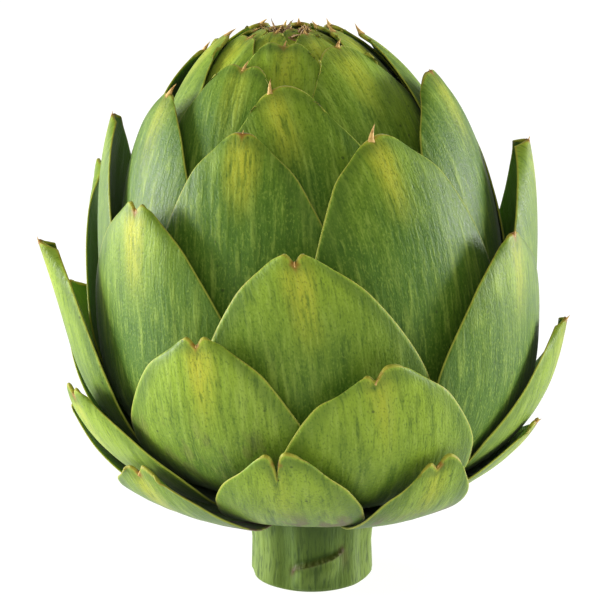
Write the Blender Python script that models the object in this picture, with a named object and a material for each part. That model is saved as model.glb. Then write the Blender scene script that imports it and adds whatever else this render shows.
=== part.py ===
"""A globe artichoke, as cut: a short stem that swells into the heart, the bracts that grow round it in a
spiral, and the tight bud of young leaves in the middle. It stands on its cut stem.

Metres, +Z up. The origin is the centre of the stem's cut face, and -Y is the front.
"""

import math

import bmesh
import bpy
import numpy as np

# The spiral: each bract stands one golden turn round from the one before it, from the lowest inwards.
BRACTS = 53
GOLDEN_TURN = 137.508
FIRST_TURN = -42.5

# The shells: a bract lies on a barrel-shaped shell round the stem's axis, widest at the belly.
BELLY_HEIGHT = 0.060
SHELL_RADIUS = (0.0565, -0.0180, -0.0140)
SHELL_RISE = (0.070, -0.005, 0.0)
SHELL_DEPTH = ((0.0, 0.0428), (0.11, 0.0414), (1.0, 0.0165))
SHELL_POWER_BELOW = ((0.0, 0.68), (0.16, 0.80), (1.0, 0.80))
SHELL_POWER_ABOVE = 0.92

# The head bends a little to the left above its base, by this much at its top.
HEAD_LEAN = 0.0045
LEAN_FROM = 0.030
LEAN_TO = 0.120

# What follows is given for layers from 0, the outermost bract, to 1, the innermost.
TIP_ANGLE = ((0.0, -34), (0.113, -17), (0.2, 2), (0.3, 12), (0.36, 23), (0.43, 32), (0.49, 45), (0.6, 60),
             (0.75, 75), (1.0, 84))
OPEN = ((0.0, 0.001), (0.17, 0.005), (0.32, 0.007), (0.45, 0.004), (0.6, 0.001), (1.0, 0.0))
BASE_RADIUS = ((0.0, 0.0150), (0.2, 0.0190), (0.5, 0.0255), (0.75, 0.0210), (1.0, 0.0110))
HALF_WIDTH = ((0.0, 0.016), (0.11, 0.018), (0.2, 0.0235), (0.36, 0.0265), (0.5, 0.0265), (0.66, 0.020),
              (0.75, 0.017), (1.0, 0.011))
END_HALF_WIDTH = ((0.0, 0.0040), (0.3, 0.0042), (0.5, 0.0042), (0.75, 0.0034), (1.0, 0.0012))
BASE_NARROWING = ((0.0, 0.28), (0.10, 0.42), (0.2, 0.55), (1.0, 0.55))
TAPER = ((0.0, 0.020), (0.11, 0.020), (0.36, 0.032), (0.5, 0.040), (0.75, 0.034), (1.0, 0.026))

# The shape of every bract.
BASE_LENGTH = 0.5
END_DROP_MOST = 0.85
END_BLEND = 3.5
END_BLEND_LEAST = 0.010
TAPER_POWER = 1.45
TAPER_ROUNDING = 0.88
CUP = 0.94
THICK_AT_BASE = 0.0014
THICK_AT_TIP = 0.0009
EDGE_THINNING = 0.5
OPENING_POWER = 2.5
OPENING_LOSS_AT_EDGE = 0.35
STEEPEST_BEND = 0.15
END_SLOPE_NEAR = 0.0005
END_SLOPE_FAR = 0.0015
ROW_CROWDING = 1.2
SHARP_ANGLE = 40

# The stem and the heart.
STEM_RADIUS = 0.0134
STEM_TOP_RADIUS = 0.0139
STEM_TOP = 0.0165
CUT_CHAMFER = 0.0006
HEART_CLEARANCE = 0.0022
STEM_SIDES = 32
HEART_LAYERS = (0.12, 0.25, 0.4, 0.55, 0.7, 0.85, 1.0)

# The bud of young leaves in the middle.
BUD_RADIUS = 0.0215
BUD_BOTTOM = 0.0485
BUD_TOP = 0.1195
BUD_POWER_BELOW = 0.8
BUD_SIDES = 24
BUD_RINGS = 10
BUD_LOWEST_ANGLE = -62
BUD_HIGHEST_ANGLE = 86

# The cage of each bract.
ACROSS = 6
ALONG = 8
MIDLINE_STEPS = 240


def at_layer(layer, table):
    """The value at a layer of a table of (layer, value) pairs, in straight lines between them."""
    return float(np.interp(layer, [row[0] for row in table], [row[1] for row in table]))


def polynomial(layer, terms):
    """A constant, a linear and a square term, at a layer."""
    return terms[0] + terms[1] * layer + terms[2] * layer * layer


def leant(points):
    """Points moved sideways along the bend of the head's axis."""
    rise = np.clip((points[..., 2] - LEAN_FROM) / (LEAN_TO - LEAN_FROM), 0, None)
    return points - np.stack([HEAD_LEAN * rise**2, 0 * rise, 0 * rise], axis=-1)


def shell_points(layer, angles):
    """(radius, height) on a layer's shell, at angles from -90 degrees, its bottom, to 90, its top."""
    radius = polynomial(layer, SHELL_RADIUS)
    rise = polynomial(layer, SHELL_RISE)
    depth = at_layer(layer, SHELL_DEPTH)
    power = np.where(angles > 0, SHELL_POWER_ABOVE, at_layer(layer, SHELL_POWER_BELOW))
    across = np.cos(angles) ** power
    up = np.abs(np.sin(angles)) ** power
    return np.stack([radius * across, BELLY_HEIGHT + np.where(angles > 0, rise, -depth) * up], axis=-1)


def midline(layer, rise):
    """A function from the share of a bract's length to (radius, height), and that length."""
    radius = polynomial(layer, SHELL_RADIUS)
    start = -math.acos((at_layer(layer, BASE_RADIUS) / radius) ** (1 / at_layer(layer, SHELL_POWER_BELOW)))
    end = math.radians(at_layer(layer, TIP_ANGLE) + rise)
    points = shell_points(layer, np.linspace(start, end, MIDLINE_STEPS))
    steps = np.linalg.norm(np.diff(points, axis=0), axis=1)
    distance = np.concatenate([[0.0], np.cumsum(steps)])
    length = distance[-1]

    def along(share):
        return np.stack([np.interp(share * length, distance, points[:, k]) for k in (0, 1)], axis=-1)

    return along, length


def smooth(value, low, high):
    """A smooth rise from 0 at low to 1 at high."""
    t = np.clip((value - low) / (high - low), 0, 1)
    return t * t * (3 - 2 * t)


class Bract:
    """One bract. turn is in degrees round the stem and rise in degrees along its shell. open and lean are in
    metres at the tip, outwards and sideways. breadth widens the whole bract, blunt its end, foot its base."""

    def __init__(self, number, turn=0.0, rise=0.0, open=0.0, lean=0.0, breadth=1.0, blunt=1.0, foot=1.0):
        self.number = number
        self.layer = (number + 1) / BRACTS
        self.turn = math.radians(FIRST_TURN - GOLDEN_TURN * number + turn)
        self.open = at_layer(self.layer, OPEN) + open
        self.lean, self.breadth, self.foot = lean, breadth, foot
        self.end_half_width = at_layer(self.layer, END_HALF_WIDTH) * blunt
        self.along, self.length = midline(self.layer, rise)

    def half_width(self, share):
        """Half the width at a share of the length: narrow at the base, full, then tapering to a blunt end."""
        from_tip = np.clip((1 - share) * self.length / at_layer(self.layer, TAPER), 0, 1)
        tip = (1 - (1 - from_tip) ** TAPER_POWER) ** TAPER_ROUNDING
        narrowing = min(at_layer(self.layer, BASE_NARROWING) * self.foot, 1)
        base = narrowing + (1 - narrowing) * smooth(share, 0, BASE_LENGTH)
        full = at_layer(self.layer, HALF_WIDTH) * self.breadth
        return (self.end_half_width + (full - self.end_half_width) * tip) * base

    def end_drop(self):
        """How far the end edge's corners stand below its middle, so that the edge rounds into the sides."""
        reaches = (END_SLOPE_NEAR, END_SLOPE_FAR)
        near, far = (float(self.half_width(1 - reach / self.length)) for reach in reaches)
        fall = 0.5 * (END_SLOPE_FAR - END_SLOPE_NEAR) / (far - near)
        return self.end_half_width * min(fall, END_DROP_MOST)

    def outer(self, across, share):
        """Points of the outer face, at across from -1 to 1 and share from 0 at the base to 1 at the tip."""
        drop = self.end_drop()
        blend = smooth(share, 1 - max(END_BLEND * drop, END_BLEND_LEAST) / self.length, 1)
        here = np.clip(share - drop / self.length * across**2 * blend, 0, 1)
        step = 1e-3
        centre = self.along(here)
        ahead = self.along(np.minimum(here + step, 1)) - self.along(np.maximum(here - step, 0))
        ahead /= np.linalg.norm(ahead, axis=-1, keepdims=True)
        normal = np.stack([ahead[..., 1], -ahead[..., 0]], axis=-1)
        bend = CUP * centre[..., 0] / np.maximum(normal[..., 0], STEEPEST_BEND)
        sideways = across * self.half_width(share) + self.lean * share**2
        lateral = bend * np.sin(sideways / bend)
        inward = bend * (1 - np.cos(sideways / bend))
        outward = self.open * here**OPENING_POWER * (1 - OPENING_LOSS_AT_EDGE * across**2)
        radius = centre[..., 0] - inward * normal[..., 0] + outward
        height = centre[..., 1] - inward * normal[..., 1]
        sine, cosine = math.sin(self.turn), math.cos(self.turn)
        x = radius * sine + lateral * cosine
        y = lateral * sine - radius * cosine
        return leant(np.stack([x, y, height], axis=-1))

    def faces(self, columns, rows):
        """Grids of points for the outer face and the inner face."""
        crowded = 1 - np.linspace(1, 0, rows + 1) ** ROW_CROWDING
        across, share = np.meshgrid(np.linspace(-1, 1, columns + 1), crowded)
        outer = self.outer(across, share)
        small = 1e-3
        side = self.outer(across + small, share) - self.outer(across - small, share)
        up = self.outer(across, np.minimum(share + small, 1)) - self.outer(across, share - small)
        normal = np.cross(side, up)
        normal /= np.linalg.norm(normal, axis=-1, keepdims=True)
        thick = THICK_AT_BASE + (THICK_AT_TIP - THICK_AT_BASE) * share
        thick = thick * (1 - EDGE_THINNING * across**2)
        return outer, outer - normal * thick[..., None]


# How single bracts depart from the rule.
HABITS = {
    0: dict(turn=-2, rise=9, open=-0.003, blunt=1.4, foot=1.8),
    2: dict(turn=-13, rise=12, open=-0.002, breadth=0.67, blunt=1.4, foot=1.4),
    5: dict(turn=3.5, rise=6, breadth=0.85, blunt=1.5),
    7: dict(turn=-6, rise=-12, open=-0.003),
    8: dict(rise=-2, blunt=1.1),
    10: dict(turn=-4, rise=2, lean=-0.003, breadth=0.9, blunt=1.5),
    11: dict(rise=-4, open=0.0045),
    12: dict(turn=-31, rise=-4, breadth=0.95, blunt=0.7),
    13: dict(turn=6, breadth=0.88, blunt=1.2),
    15: dict(turn=5, rise=8, open=-0.003),
    16: dict(turn=4, rise=0, open=0.004, breadth=0.75, blunt=0.7),
    18: dict(turn=1, lean=-0.005, breadth=0.95),
    19: dict(turn=8, rise=-2, open=0.010),
    20: dict(turn=2, rise=7, open=0.005, blunt=0.7),
    21: dict(turn=2, rise=-2),
    23: dict(turn=-2, rise=7, lean=-0.004, breadth=0.93, blunt=1.3),
    24: dict(turn=7, rise=-1, open=0.002, blunt=0.7),
    26: dict(turn=-0.5, rise=-3, breadth=0.92, blunt=1.1),
    28: dict(turn=4, rise=4, open=0.004, blunt=1.7),
    29: dict(turn=6, rise=-5, blunt=0.8),
    31: dict(turn=-12, rise=-4, lean=-0.003, blunt=1.9),
    32: dict(rise=-4),
    33: dict(rise=6),
    34: dict(turn=8, rise=-2, blunt=1.9),
    36: dict(turn=-6, breadth=1.2, blunt=2.2),
    37: dict(turn=4, rise=0, blunt=1.8),
    39: dict(blunt=1.8),
}


def material(name, colour, roughness):
    """A plain finish."""
    made = bpy.data.materials.new(name)
    made.use_nodes = True
    shader = made.node_tree.nodes["Principled BSDF"]
    shader.inputs["Base Color"].default_value = (*colour, 1.0)
    shader.inputs["Roughness"].default_value = roughness
    return made


def add_object(name, mesh_builder, finish):
    """Fills a mesh, links it as an object and shades it smooth."""
    mesh = bpy.data.meshes.new(name)
    cage = bmesh.new()
    mesh_builder(cage)
    bmesh.ops.recalc_face_normals(cage, faces=cage.faces)
    if cage.calc_volume(signed=True) < 0:
        bmesh.ops.reverse_faces(cage, faces=cage.faces)
    cage.to_mesh(mesh)
    cage.free()
    mesh.shade_smooth()
    mesh.set_sharp_from_angle(angle=math.radians(SHARP_ANGLE))
    mesh.materials.append(finish)
    made = bpy.data.objects.new(name, mesh)
    bpy.context.scene.collection.objects.link(made)
    return made


def bract_cage(bract):
    """A closed shell from the outer and inner grids, joined round the rim."""

    def build(cage):
        grids = []
        for grid in bract.faces(ACROSS, ALONG):
            grids.append([[cage.verts.new(point) for point in row] for row in grid])
        outer, inner = grids
        for grid in grids:
            for j in range(ALONG):
                for i in range(ACROSS):
                    cage.faces.new((grid[j][i], grid[j][i + 1], grid[j + 1][i + 1], grid[j + 1][i]))
        rim = [(0, i) for i in range(ACROSS)] + [(j, ACROSS) for j in range(ALONG)]
        rim += [(ALONG, i) for i in range(ACROSS, 0, -1)] + [(j, 0) for j in range(ALONG, 0, -1)]
        for (j, i), (l, k) in zip(rim, rim[1:] + rim[:1]):
            cage.faces.new((outer[j][i], outer[l][k], inner[l][k], inner[j][i]))

    return build


def turned_cage(profile, sides):
    """A closed solid turned round the head's axis from a profile of (radius, height), from the bottom up."""

    def build(cage):
        rings = []
        for radius, height in profile:
            ring = []
            for k in range(sides):
                turn = 2 * math.pi * k / sides
                point = np.array([radius * math.cos(turn), radius * math.sin(turn), height])
                ring.append(cage.verts.new(leant(point)))
            rings.append(ring)
        for low, high in zip(rings, rings[1:]):
            for k in range(sides):
                cage.faces.new((low[k], low[k - sides + 1], high[k - sides + 1], high[k]))
        cage.faces.new(rings[0][::-1])
        cage.faces.new(rings[-1])

    return build


def stem_profile():
    """The stem, then the heart, whose side lies just inside the bracts' bases."""
    profile = [(STEM_RADIUS - CUT_CHAMFER, 0.0), (STEM_RADIUS, CUT_CHAMFER), (STEM_TOP_RADIUS, STEM_TOP)]
    for layer in HEART_LAYERS:
        radius = at_layer(layer, BASE_RADIUS)
        height = midline(layer, 0.0)[0](0.0)[1]
        profile.append((radius - HEART_CLEARANCE, height))
    return profile


def bud_profile():
    """A tall barrel that closes at the top."""
    middle, span = BELLY_HEIGHT, BUD_HIGHEST_ANGLE - BUD_LOWEST_ANGLE
    profile = []
    for k in range(BUD_RINGS + 1):
        angle = math.radians(BUD_LOWEST_ANGLE + span * k / BUD_RINGS)
        power = SHELL_POWER_ABOVE if angle > 0 else BUD_POWER_BELOW
        reach = BUD_TOP - middle if angle > 0 else middle - BUD_BOTTOM
        radius = BUD_RADIUS * math.cos(angle) ** power
        height = middle + math.copysign(reach * abs(math.sin(angle)) ** power, angle)
        profile.append((radius, height))
    return profile


def main():
    for old in list(bpy.data.objects):
        bpy.data.objects.remove(old)
    green = material("bract_green", (0.23, 0.36, 0.09), 0.55)
    pale = material("stem_green", (0.27, 0.40, 0.14), 0.6)
    inner = material("young_leaf", (0.35, 0.45, 0.18), 0.6)
    add_object("stem_and_heart", turned_cage(stem_profile(), STEM_SIDES), pale)
    add_object("inner_bud", turned_cage(bud_profile(), BUD_SIDES), inner)
    for number in range(BRACTS):
        bract = Bract(number, **HABITS.get(number, {}))
        add_object(f"bract_{number + 1:02d}", bract_cage(bract), green)


if __name__ == "__main__":
    main()
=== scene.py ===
"""The looks of a globe artichoke: its stem, the bracts of its head, the bud inside, and their dry tips.

Every piece grows by the same rule as the solid model, finely enough to carry lobes, ribs and fibres.
Lengths are in metres, +Z is up, the front is -Y, and the object stands on its cut stem at the origin.
"""

from __future__ import annotations

import logging
import math
from dataclasses import asdict, dataclass, field, replace
from enum import Enum
from functools import reduce
from typing import Any, Sequence, Union

import bmesh
import bpy
import numpy as np
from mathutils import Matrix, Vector

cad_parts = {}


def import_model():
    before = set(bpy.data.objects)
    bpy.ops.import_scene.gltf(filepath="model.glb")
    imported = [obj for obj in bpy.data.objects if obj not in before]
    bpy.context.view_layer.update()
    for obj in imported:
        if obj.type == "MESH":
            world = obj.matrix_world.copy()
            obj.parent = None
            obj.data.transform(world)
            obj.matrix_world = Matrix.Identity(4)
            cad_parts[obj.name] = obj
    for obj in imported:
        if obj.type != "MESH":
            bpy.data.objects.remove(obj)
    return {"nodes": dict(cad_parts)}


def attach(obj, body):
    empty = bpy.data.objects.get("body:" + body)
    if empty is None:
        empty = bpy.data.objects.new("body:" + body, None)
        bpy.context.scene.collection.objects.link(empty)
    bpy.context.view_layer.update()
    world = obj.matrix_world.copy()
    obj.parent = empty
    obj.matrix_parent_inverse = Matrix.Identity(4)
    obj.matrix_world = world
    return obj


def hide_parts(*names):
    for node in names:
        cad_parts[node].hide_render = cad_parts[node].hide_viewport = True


log = logging.getLogger("artichoke")

Array = np.ndarray
Pair = tuple[float, float]
Triple = tuple[float, float, float]
Fade = tuple[float, ...]
Grain = tuple[float, float, float, float, float]
Table = Sequence[Pair]
Colour = Triple
Faces = list[tuple[int, ...]]
Piece = bpy.types.Object
Material = bpy.types.Material
Socket = bpy.types.NodeSocket
Value = Union[float, Socket]

SHORTEST = 1e-12
SMALL_STEP = 1e-3
MID_NOISE = 0.5


def at_layer(layer: float, table: Table) -> float:
    """Reads a table in straight lines between its rows.

    Args:
        layer: from 0, the outermost bract, to 1, the innermost.
        table: rows of (layer, value).

    Returns:
        The value at that layer.
    """
    return float(np.interp(layer, [row[0] for row in table], [row[1] for row in table]))


def polynomial(layer: float, terms: Triple) -> float:
    """Adds a constant, a linear and a square term at a layer."""
    return terms[0] + terms[1] * layer + terms[2] * layer * layer


def smooth_step(value: Array, low: float, high: float) -> Array:
    """Rises smoothly from 0 at low to 1 at high.

    Args:
        value: where to read the curve.
        low: the start of the rise.
        high: the end of the rise.

    Returns:
        The curve's height at each value.
    """
    t = np.clip((value - low) / (high - low), 0, 1)
    return t * t * (3 - 2 * t)


def plateau(value: Array, rise: Pair, fall: Pair) -> Array:
    """Rises smoothly from 0 to 1 over one range, and falls back over another."""
    return smooth_step(value, *rise) * (1 - smooth_step(value, *fall))


def unit(vectors: Array) -> Array:
    """Scales vectors, along the last axis, to a length of one."""
    return vectors / np.maximum(np.linalg.norm(vectors, axis=-1, keepdims=True), SHORTEST)


def bell(value: Array, middle: float, width: float) -> Array:
    """Gives 1 at the middle, and falls off evenly on both sides over the width."""
    return np.exp(-(((value - middle) / width) ** 2))


@dataclass(frozen=True)
class TipForm:
    """What a kind of tip has, beside the deepest notch, a full spine and a wholly dried spot."""

    notch: float
    spine: float
    dry: float


class Tip(Enum):
    """How a bract ends."""

    NOTCHED = TipForm(notch=1.0, spine=0.35, dry=0.9)
    SPINED = TipForm(notch=0.1, spine=1.1, dry=0.8)
    LOBED_SPINE = TipForm(notch=0.7, spine=1.0, dry=0.7)
    NUB = TipForm(notch=0.15, spine=0.45, dry=1.0)


@dataclass(frozen=True)
class Habit:
    """How a single bract departs from the rule: turn and rise in degrees, lengths in metres."""

    turn: float = 0.0
    rise: float = 0.0
    open: float = 0.0
    lean: float = 0.0
    breadth: float = 1.0
    blunt: float = 1.0
    foot: float = 1.0
    lift: float = 0.0
    tip: Tip | None = None
    notch: float = 0.0026
    notch_at: float = 0.0
    crack: float = 0.0
    tilt: float = 0.0
    ochre: float = 0.6
    scar: float = 0.0
    tone: float = 0.0
    spine_lean: float = 0.0


@dataclass
class Spiral:
    """The order in which bracts stand round the stem."""

    bracts: int = 53
    golden_turn: float = 137.508
    first_turn: float = -42.5

    def layer(self, number: int) -> float:
        """Gives the layer of a bract, from its number in order of growth."""
        return (number + 1) / self.bracts

    def turn(self, number: int) -> float:
        """Gives a bract's place round the stem, in degrees from the front."""
        return self.first_turn - self.golden_turn * number


@dataclass
class Lean:
    """The slight bend of the head's axis to the left."""

    amount: float = 0.0045
    low: float = 0.030
    high: float = 0.120

    def bend(self, points: Array) -> Array:
        """Moves points sideways along the bend of the axis.

        Args:
            points: positions in the last axis.

        Returns:
            The moved positions.
        """
        rise = np.clip((points[..., 2] - self.low) / (self.high - self.low), 0, None)
        return points - np.stack([self.amount * rise**2, 0 * rise, 0 * rise], axis=-1)


@dataclass
class Shells:
    """The barrel-shaped shells, one inside another, that the bracts lie on."""

    belly: float = 0.060
    radius: Triple = (0.0565, -0.0180, -0.0140)
    rise: Triple = (0.070, -0.005, 0.0)
    depth: Table = ((0.0, 0.0428), (0.11, 0.0414), (1.0, 0.0165))
    power_below: Table = ((0.0, 0.68), (0.16, 0.80), (1.0, 0.80))
    power_above: float = 0.92
    base_radius: Table = ((0.0, 0.0150), (0.2, 0.0190), (0.5, 0.0255), (0.75, 0.0210), (1.0, 0.0110))
    tip_angle: Table = (
        *((0.0, -34), (0.113, -17), (0.2, 2), (0.3, 12), (0.36, 23)),
        *((0.43, 32), (0.49, 45), (0.6, 60), (0.75, 75), (1.0, 84)),
    )
    steps: int = 240

    def curve(self, layer: float, angles: Array) -> Array:
        """Reads a shell's outline.

        Args:
            layer: which shell.
            angles: from -90 degrees, its bottom, through 0, its belly, to 90, in radians.

        Returns:
            Rows of (radius, height).
        """
        power = np.where(angles > 0, self.power_above, at_layer(layer, self.power_below))
        reach = np.where(angles > 0, polynomial(layer, self.rise), -at_layer(layer, self.depth))
        across = np.cos(angles) ** power
        up = np.abs(np.sin(angles)) ** power
        return np.stack([polynomial(layer, self.radius) * across, self.belly + reach * up], axis=-1)

    def midline(self, layer: float, rise: float) -> tuple[Array, Array]:
        """Follows a bract's midline up its shell.

        Args:
            layer: which shell.
            rise: degrees by which the tip stands above the rule.

        Returns:
            The distance along the midline at each step, and the (radius, height) there.
        """
        share = at_layer(layer, self.base_radius) / polynomial(layer, self.radius)
        start = -math.acos(share ** (1 / at_layer(layer, self.power_below)))
        end = math.radians(at_layer(layer, self.tip_angle) + rise)
        points = self.curve(layer, np.linspace(start, end, self.steps))
        steps = np.linalg.norm(np.diff(points, axis=0), axis=1)
        return np.concatenate([[0.0], np.cumsum(steps)]), points


@dataclass
class BractForm:
    """The sizes that every bract's outline and section share."""

    half_width: Table = (
        *((0.0, 0.016), (0.11, 0.018), (0.2, 0.0235), (0.36, 0.0265)),
        *((0.5, 0.0265), (0.66, 0.020), (0.75, 0.017), (1.0, 0.011)),
    )
    taper: Table = ((0.0, 0.020), (0.11, 0.020), (0.36, 0.032), (0.5, 0.040), (0.75, 0.034), (1.0, 0.026))
    opening: Table = ((0.0, 0.001), (0.17, 0.005), (0.32, 0.007), (0.45, 0.004), (0.6, 0.001), (1.0, 0.0))
    base_narrowing: Table = ((0.0, 0.28), (0.10, 0.42), (0.2, 0.55), (1.0, 0.55))
    base_length: float = 0.5
    taper_power: float = 1.45
    taper_rounding: float = 0.88
    cup: float = 0.94
    thick_at_base: float = 0.0015
    thick_at_tip: float = 0.0009
    edge_thinning: float = 0.68
    edge_power: float = 3.0
    least_normal: float = 0.15
    opening_power: float = 2.5
    opening_loss_at_edge: float = 0.35
    end_half_width: Table = ((0.0, 0.0040), (0.3, 0.0042), (0.5, 0.0042), (0.75, 0.0034), (1.0, 0.0012))
    end_probe: Pair = (0.0005, 0.0015)
    end_probe_gap: float = 0.001
    end_drop_share: float = 0.5
    end_drop_most: float = 0.85
    end_blend: float = 3.5
    end_blend_least: float = 0.010
    notch_width: float = 0.0013
    notch_reach: float = 2.2
    notch_reach_least: float = 0.007
    lobe_width: float = 0.0024
    crack_width: float = 0.00055
    crack_power: float = 1.5
    tilt_reach: float = 0.016
    crease_depth: float = 0.0006
    crease_width: float = 0.0020
    crease_length: float = 0.007
    crease_return: float = 0.02
    spined_from: float = 0.5
    columns: int = 44
    rows: int = 76
    row_crowding: float = 1.25


@dataclass
class Patch:
    """The faces of a bract on a grid, with what its finish and its relief read there."""

    outer: Array
    inner: Array
    outward: Array
    lateral: Array
    from_tip: Array
    from_edge: Array
    thick: Array


@dataclass
class Spines:
    """The dry spines, and how they stand on the tips."""

    length: float = 0.0036
    base_radius: float = 0.00080
    hook: float = 0.0007
    largest: float = 1.30
    shrinking: float = 0.80
    outward_aim: float = 0.25
    sunk: float = 0.0005
    inset: float = 0.0004
    probe_down: float = 0.04
    probe_aside: float = 0.1


@dataclass
class Tuft:
    """The tangle of dried leaf ends at the very top."""

    length: float = 0.0034
    base_radius: float = 0.00055
    hook: float = 0.0020
    count: int = 70
    spread: float = 0.0046
    back: float = 0.0022
    top: float = 0.1234
    dome: float = 30.0
    rise: Pair = (0.0, 0.7)
    sizes: Pair = (0.6, 1.3)


@dataclass(frozen=True)
class Relief:
    """How high and how far apart a skin's lengthwise ribs and slow waves are."""

    rib_height: float
    rib_spacing: float
    wave_height: float
    wave_length: float
    seed: float


class Bract:
    """One bract of the head."""

    def __init__(
        self, number: int, habit: Habit, spiral: Spiral, shells: Shells, form: BractForm, lean: Lean
    ) -> None:
        """Settles where the bract stands and how long it is.

        Args:
            number: its place in order of growth, from 0.
            habit: how it departs from the rule.
            spiral: the order round the stem.
            shells: the shells that bracts lie on.
            form: the shared sizes.
            lean: the bend of the head's axis.
        """
        self.number, self.habit, self.form, self.lean = number, habit, form, lean
        self.layer = spiral.layer(number)
        self.turn = math.radians(spiral.turn(number) + habit.turn)
        self.open = at_layer(self.layer, form.opening) + habit.open
        self.distance, self.points = shells.midline(self.layer, habit.rise)
        self.length = float(self.distance[-1])
        self.end_half_width = at_layer(self.layer, form.end_half_width) * habit.blunt
        self.tip = habit.tip or self.usual_tip()

    def usual_tip(self) -> Tip:
        """Names the tip that a bract has where its habit names none.

        Returns:
            The tip.
        """
        if self.layer > self.form.spined_from:
            return Tip.SPINED if self.number % 3 else Tip.LOBED_SPINE
        return Tip.NOTCHED if self.number % 2 else Tip.NUB

    @property
    def name(self) -> str:
        """The bract's name in the solid model."""
        return f"bract_{self.number + 1:02d}"

    def along(self, share: Array) -> Array:
        """Reads (radius, height) at a share of the bract's length."""
        reach = np.clip(share, 0, 1) * self.length
        return np.stack([np.interp(reach, self.distance, self.points[:, k]) for k in (0, 1)], axis=-1)

    def half_width(self, share: Array) -> Array:
        """Gives half the width: narrow at the base, full, then tapering to a blunt end.

        Args:
            share: of the bract's length, from the base.

        Returns:
            Half the width there.
        """
        form = self.form
        from_tip = np.clip((1 - share) * self.length / at_layer(self.layer, form.taper), 0, 1)
        tip = (1 - (1 - from_tip) ** form.taper_power) ** form.taper_rounding
        narrowing = min(at_layer(self.layer, form.base_narrowing) * self.habit.foot, 1)
        base = narrowing + (1 - narrowing) * smooth_step(share, 0, form.base_length)
        full = at_layer(self.layer, form.half_width) * self.habit.breadth
        return (self.end_half_width + (full - self.end_half_width) * tip) * base

    def end_drop(self) -> float:
        """Says how far the end edge's corners stand below its middle, so that it rounds into the sides.

        Returns:
            The distance.
        """
        form = self.form
        near, far = (float(self.half_width(1 - reach / self.length)) for reach in form.end_probe)
        drop = form.end_drop_share * form.end_probe_gap / (far - near)
        return self.end_half_width * min(drop, form.end_drop_most)

    def notch_drop(self, across: Array) -> Array:
        """Shapes the notch in the end edge, with the crack that may run on from it.

        Args:
            across: from -1 to 1.

        Returns:
            How far each part of the edge falls short, in metres.
        """
        form, habit = self.form, self.habit
        away = across * self.end_half_width - habit.notch_at
        width = form.lobe_width if self.tip is Tip.LOBED_SPINE else form.notch_width
        notch = self.tip.value.notch * habit.notch * bell(away, 0, width)
        return notch + habit.crack * np.exp(-np.abs(away / form.crack_width) ** form.crack_power)

    def tilt_drop(self, across: Array) -> Array:
        """Lowers one side of the end edge, the left one where the habit's tilt is positive."""
        return 0.5 * abs(self.habit.tilt) * (1 - across * np.sign(self.habit.tilt))

    def short_fall(self, across: Array, share: Array) -> Array:
        """Says how far points stand back from a square end: its rounded corners, its notch and its tilt.

        Args:
            across: from -1, the left edge seen from outside, to 1.
            share: from 0 at the base to 1 at the end.

        Returns:
            The distance back along the bract.
        """
        form, drop = self.form, self.end_drop()
        notch = self.notch_drop(across)
        corner = smooth_step(share, 1 - max(form.end_blend * drop, form.end_blend_least) / self.length, 1)
        reach = max(form.notch_reach * float(notch.max()), form.notch_reach_least) / self.length
        fall = drop * across**2 * corner + notch * smooth_step(share, 1 - reach, 1)
        return fall + self.tilt_drop(across) * smooth_step(share, 1 - form.tilt_reach / self.length, 1)

    def place(self, across: Array, share: Array) -> tuple[Array, Array, Array]:
        """Finds points of the outer face.

        Args:
            across: from -1, the left edge seen from outside, to 1.
            share: from 0 at the base to 1 at the end.

        Returns:
            Positions, the distance from the midline, and the distance from the tip along the bract.
        """
        form, habit = self.form, self.habit
        here = np.clip(share - self.short_fall(across, share) / self.length, 0, 1)
        centre = self.along(here)
        above, below = np.minimum(here + SMALL_STEP, 1), np.maximum(here - SMALL_STEP, 0)
        ahead = unit(self.along(above) - self.along(below))
        normal = np.stack([ahead[..., 1], -ahead[..., 0]], axis=-1)
        bend = form.cup * centre[..., 0] / np.maximum(normal[..., 0], form.least_normal)
        from_middle = across * self.half_width(share)
        sideways = from_middle + habit.lean * share**2
        lateral = bend * np.sin(sideways / bend)
        inward = bend * (1 - np.cos(sideways / bend))
        outward = self.open * here**form.opening_power * (1 - form.opening_loss_at_edge * across**2)
        from_tip = (1 - here) * self.length
        from_notch = from_middle - habit.notch_at * np.exp(-from_tip / form.crease_return)
        if self.tip in (Tip.NOTCHED, Tip.LOBED_SPINE):
            crease = form.crease_depth * bell(from_notch, 0, form.crease_width)
            inward = inward + crease * np.exp(-from_tip / form.crease_length)
        radius = centre[..., 0] - inward * normal[..., 0] + outward
        height = centre[..., 1] - inward * normal[..., 1] + habit.lift * (1 - here) ** 2
        sine, cosine = math.sin(self.turn), math.cos(self.turn)
        points = [radius * sine + lateral * cosine, lateral * sine - radius * cosine, height]
        return self.lean.bend(np.stack(points, axis=-1)), from_notch, from_tip

    def patch(self) -> Patch:
        """Works out both faces of the bract on a grid.

        Returns:
            The faces, with what is read there.
        """
        form = self.form
        up_rows = 1 - np.linspace(1, 0, form.rows + 1) ** form.row_crowding
        across, share = np.meshgrid(np.linspace(-1, 1, form.columns + 1), up_rows)
        outer, sideways, from_tip = self.place(across, share)
        side = self.place(across + SMALL_STEP, share)[0] - self.place(across - SMALL_STEP, share)[0]
        above = np.minimum(share + SMALL_STEP, 1)
        up = self.place(across, above)[0] - self.place(across, share - SMALL_STEP)[0]
        outward = unit(np.cross(side, up))
        thick = form.thick_at_base + (form.thick_at_tip - form.thick_at_base) * share
        thick = thick * (1 - form.edge_thinning * np.abs(across) ** form.edge_power)
        edge = np.minimum((1 - np.abs(across)) * self.half_width(share), (1 - share) * self.length)
        return Patch(outer, outer - outward * thick[..., None], outward, sideways, from_tip, edge, thick)

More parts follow.
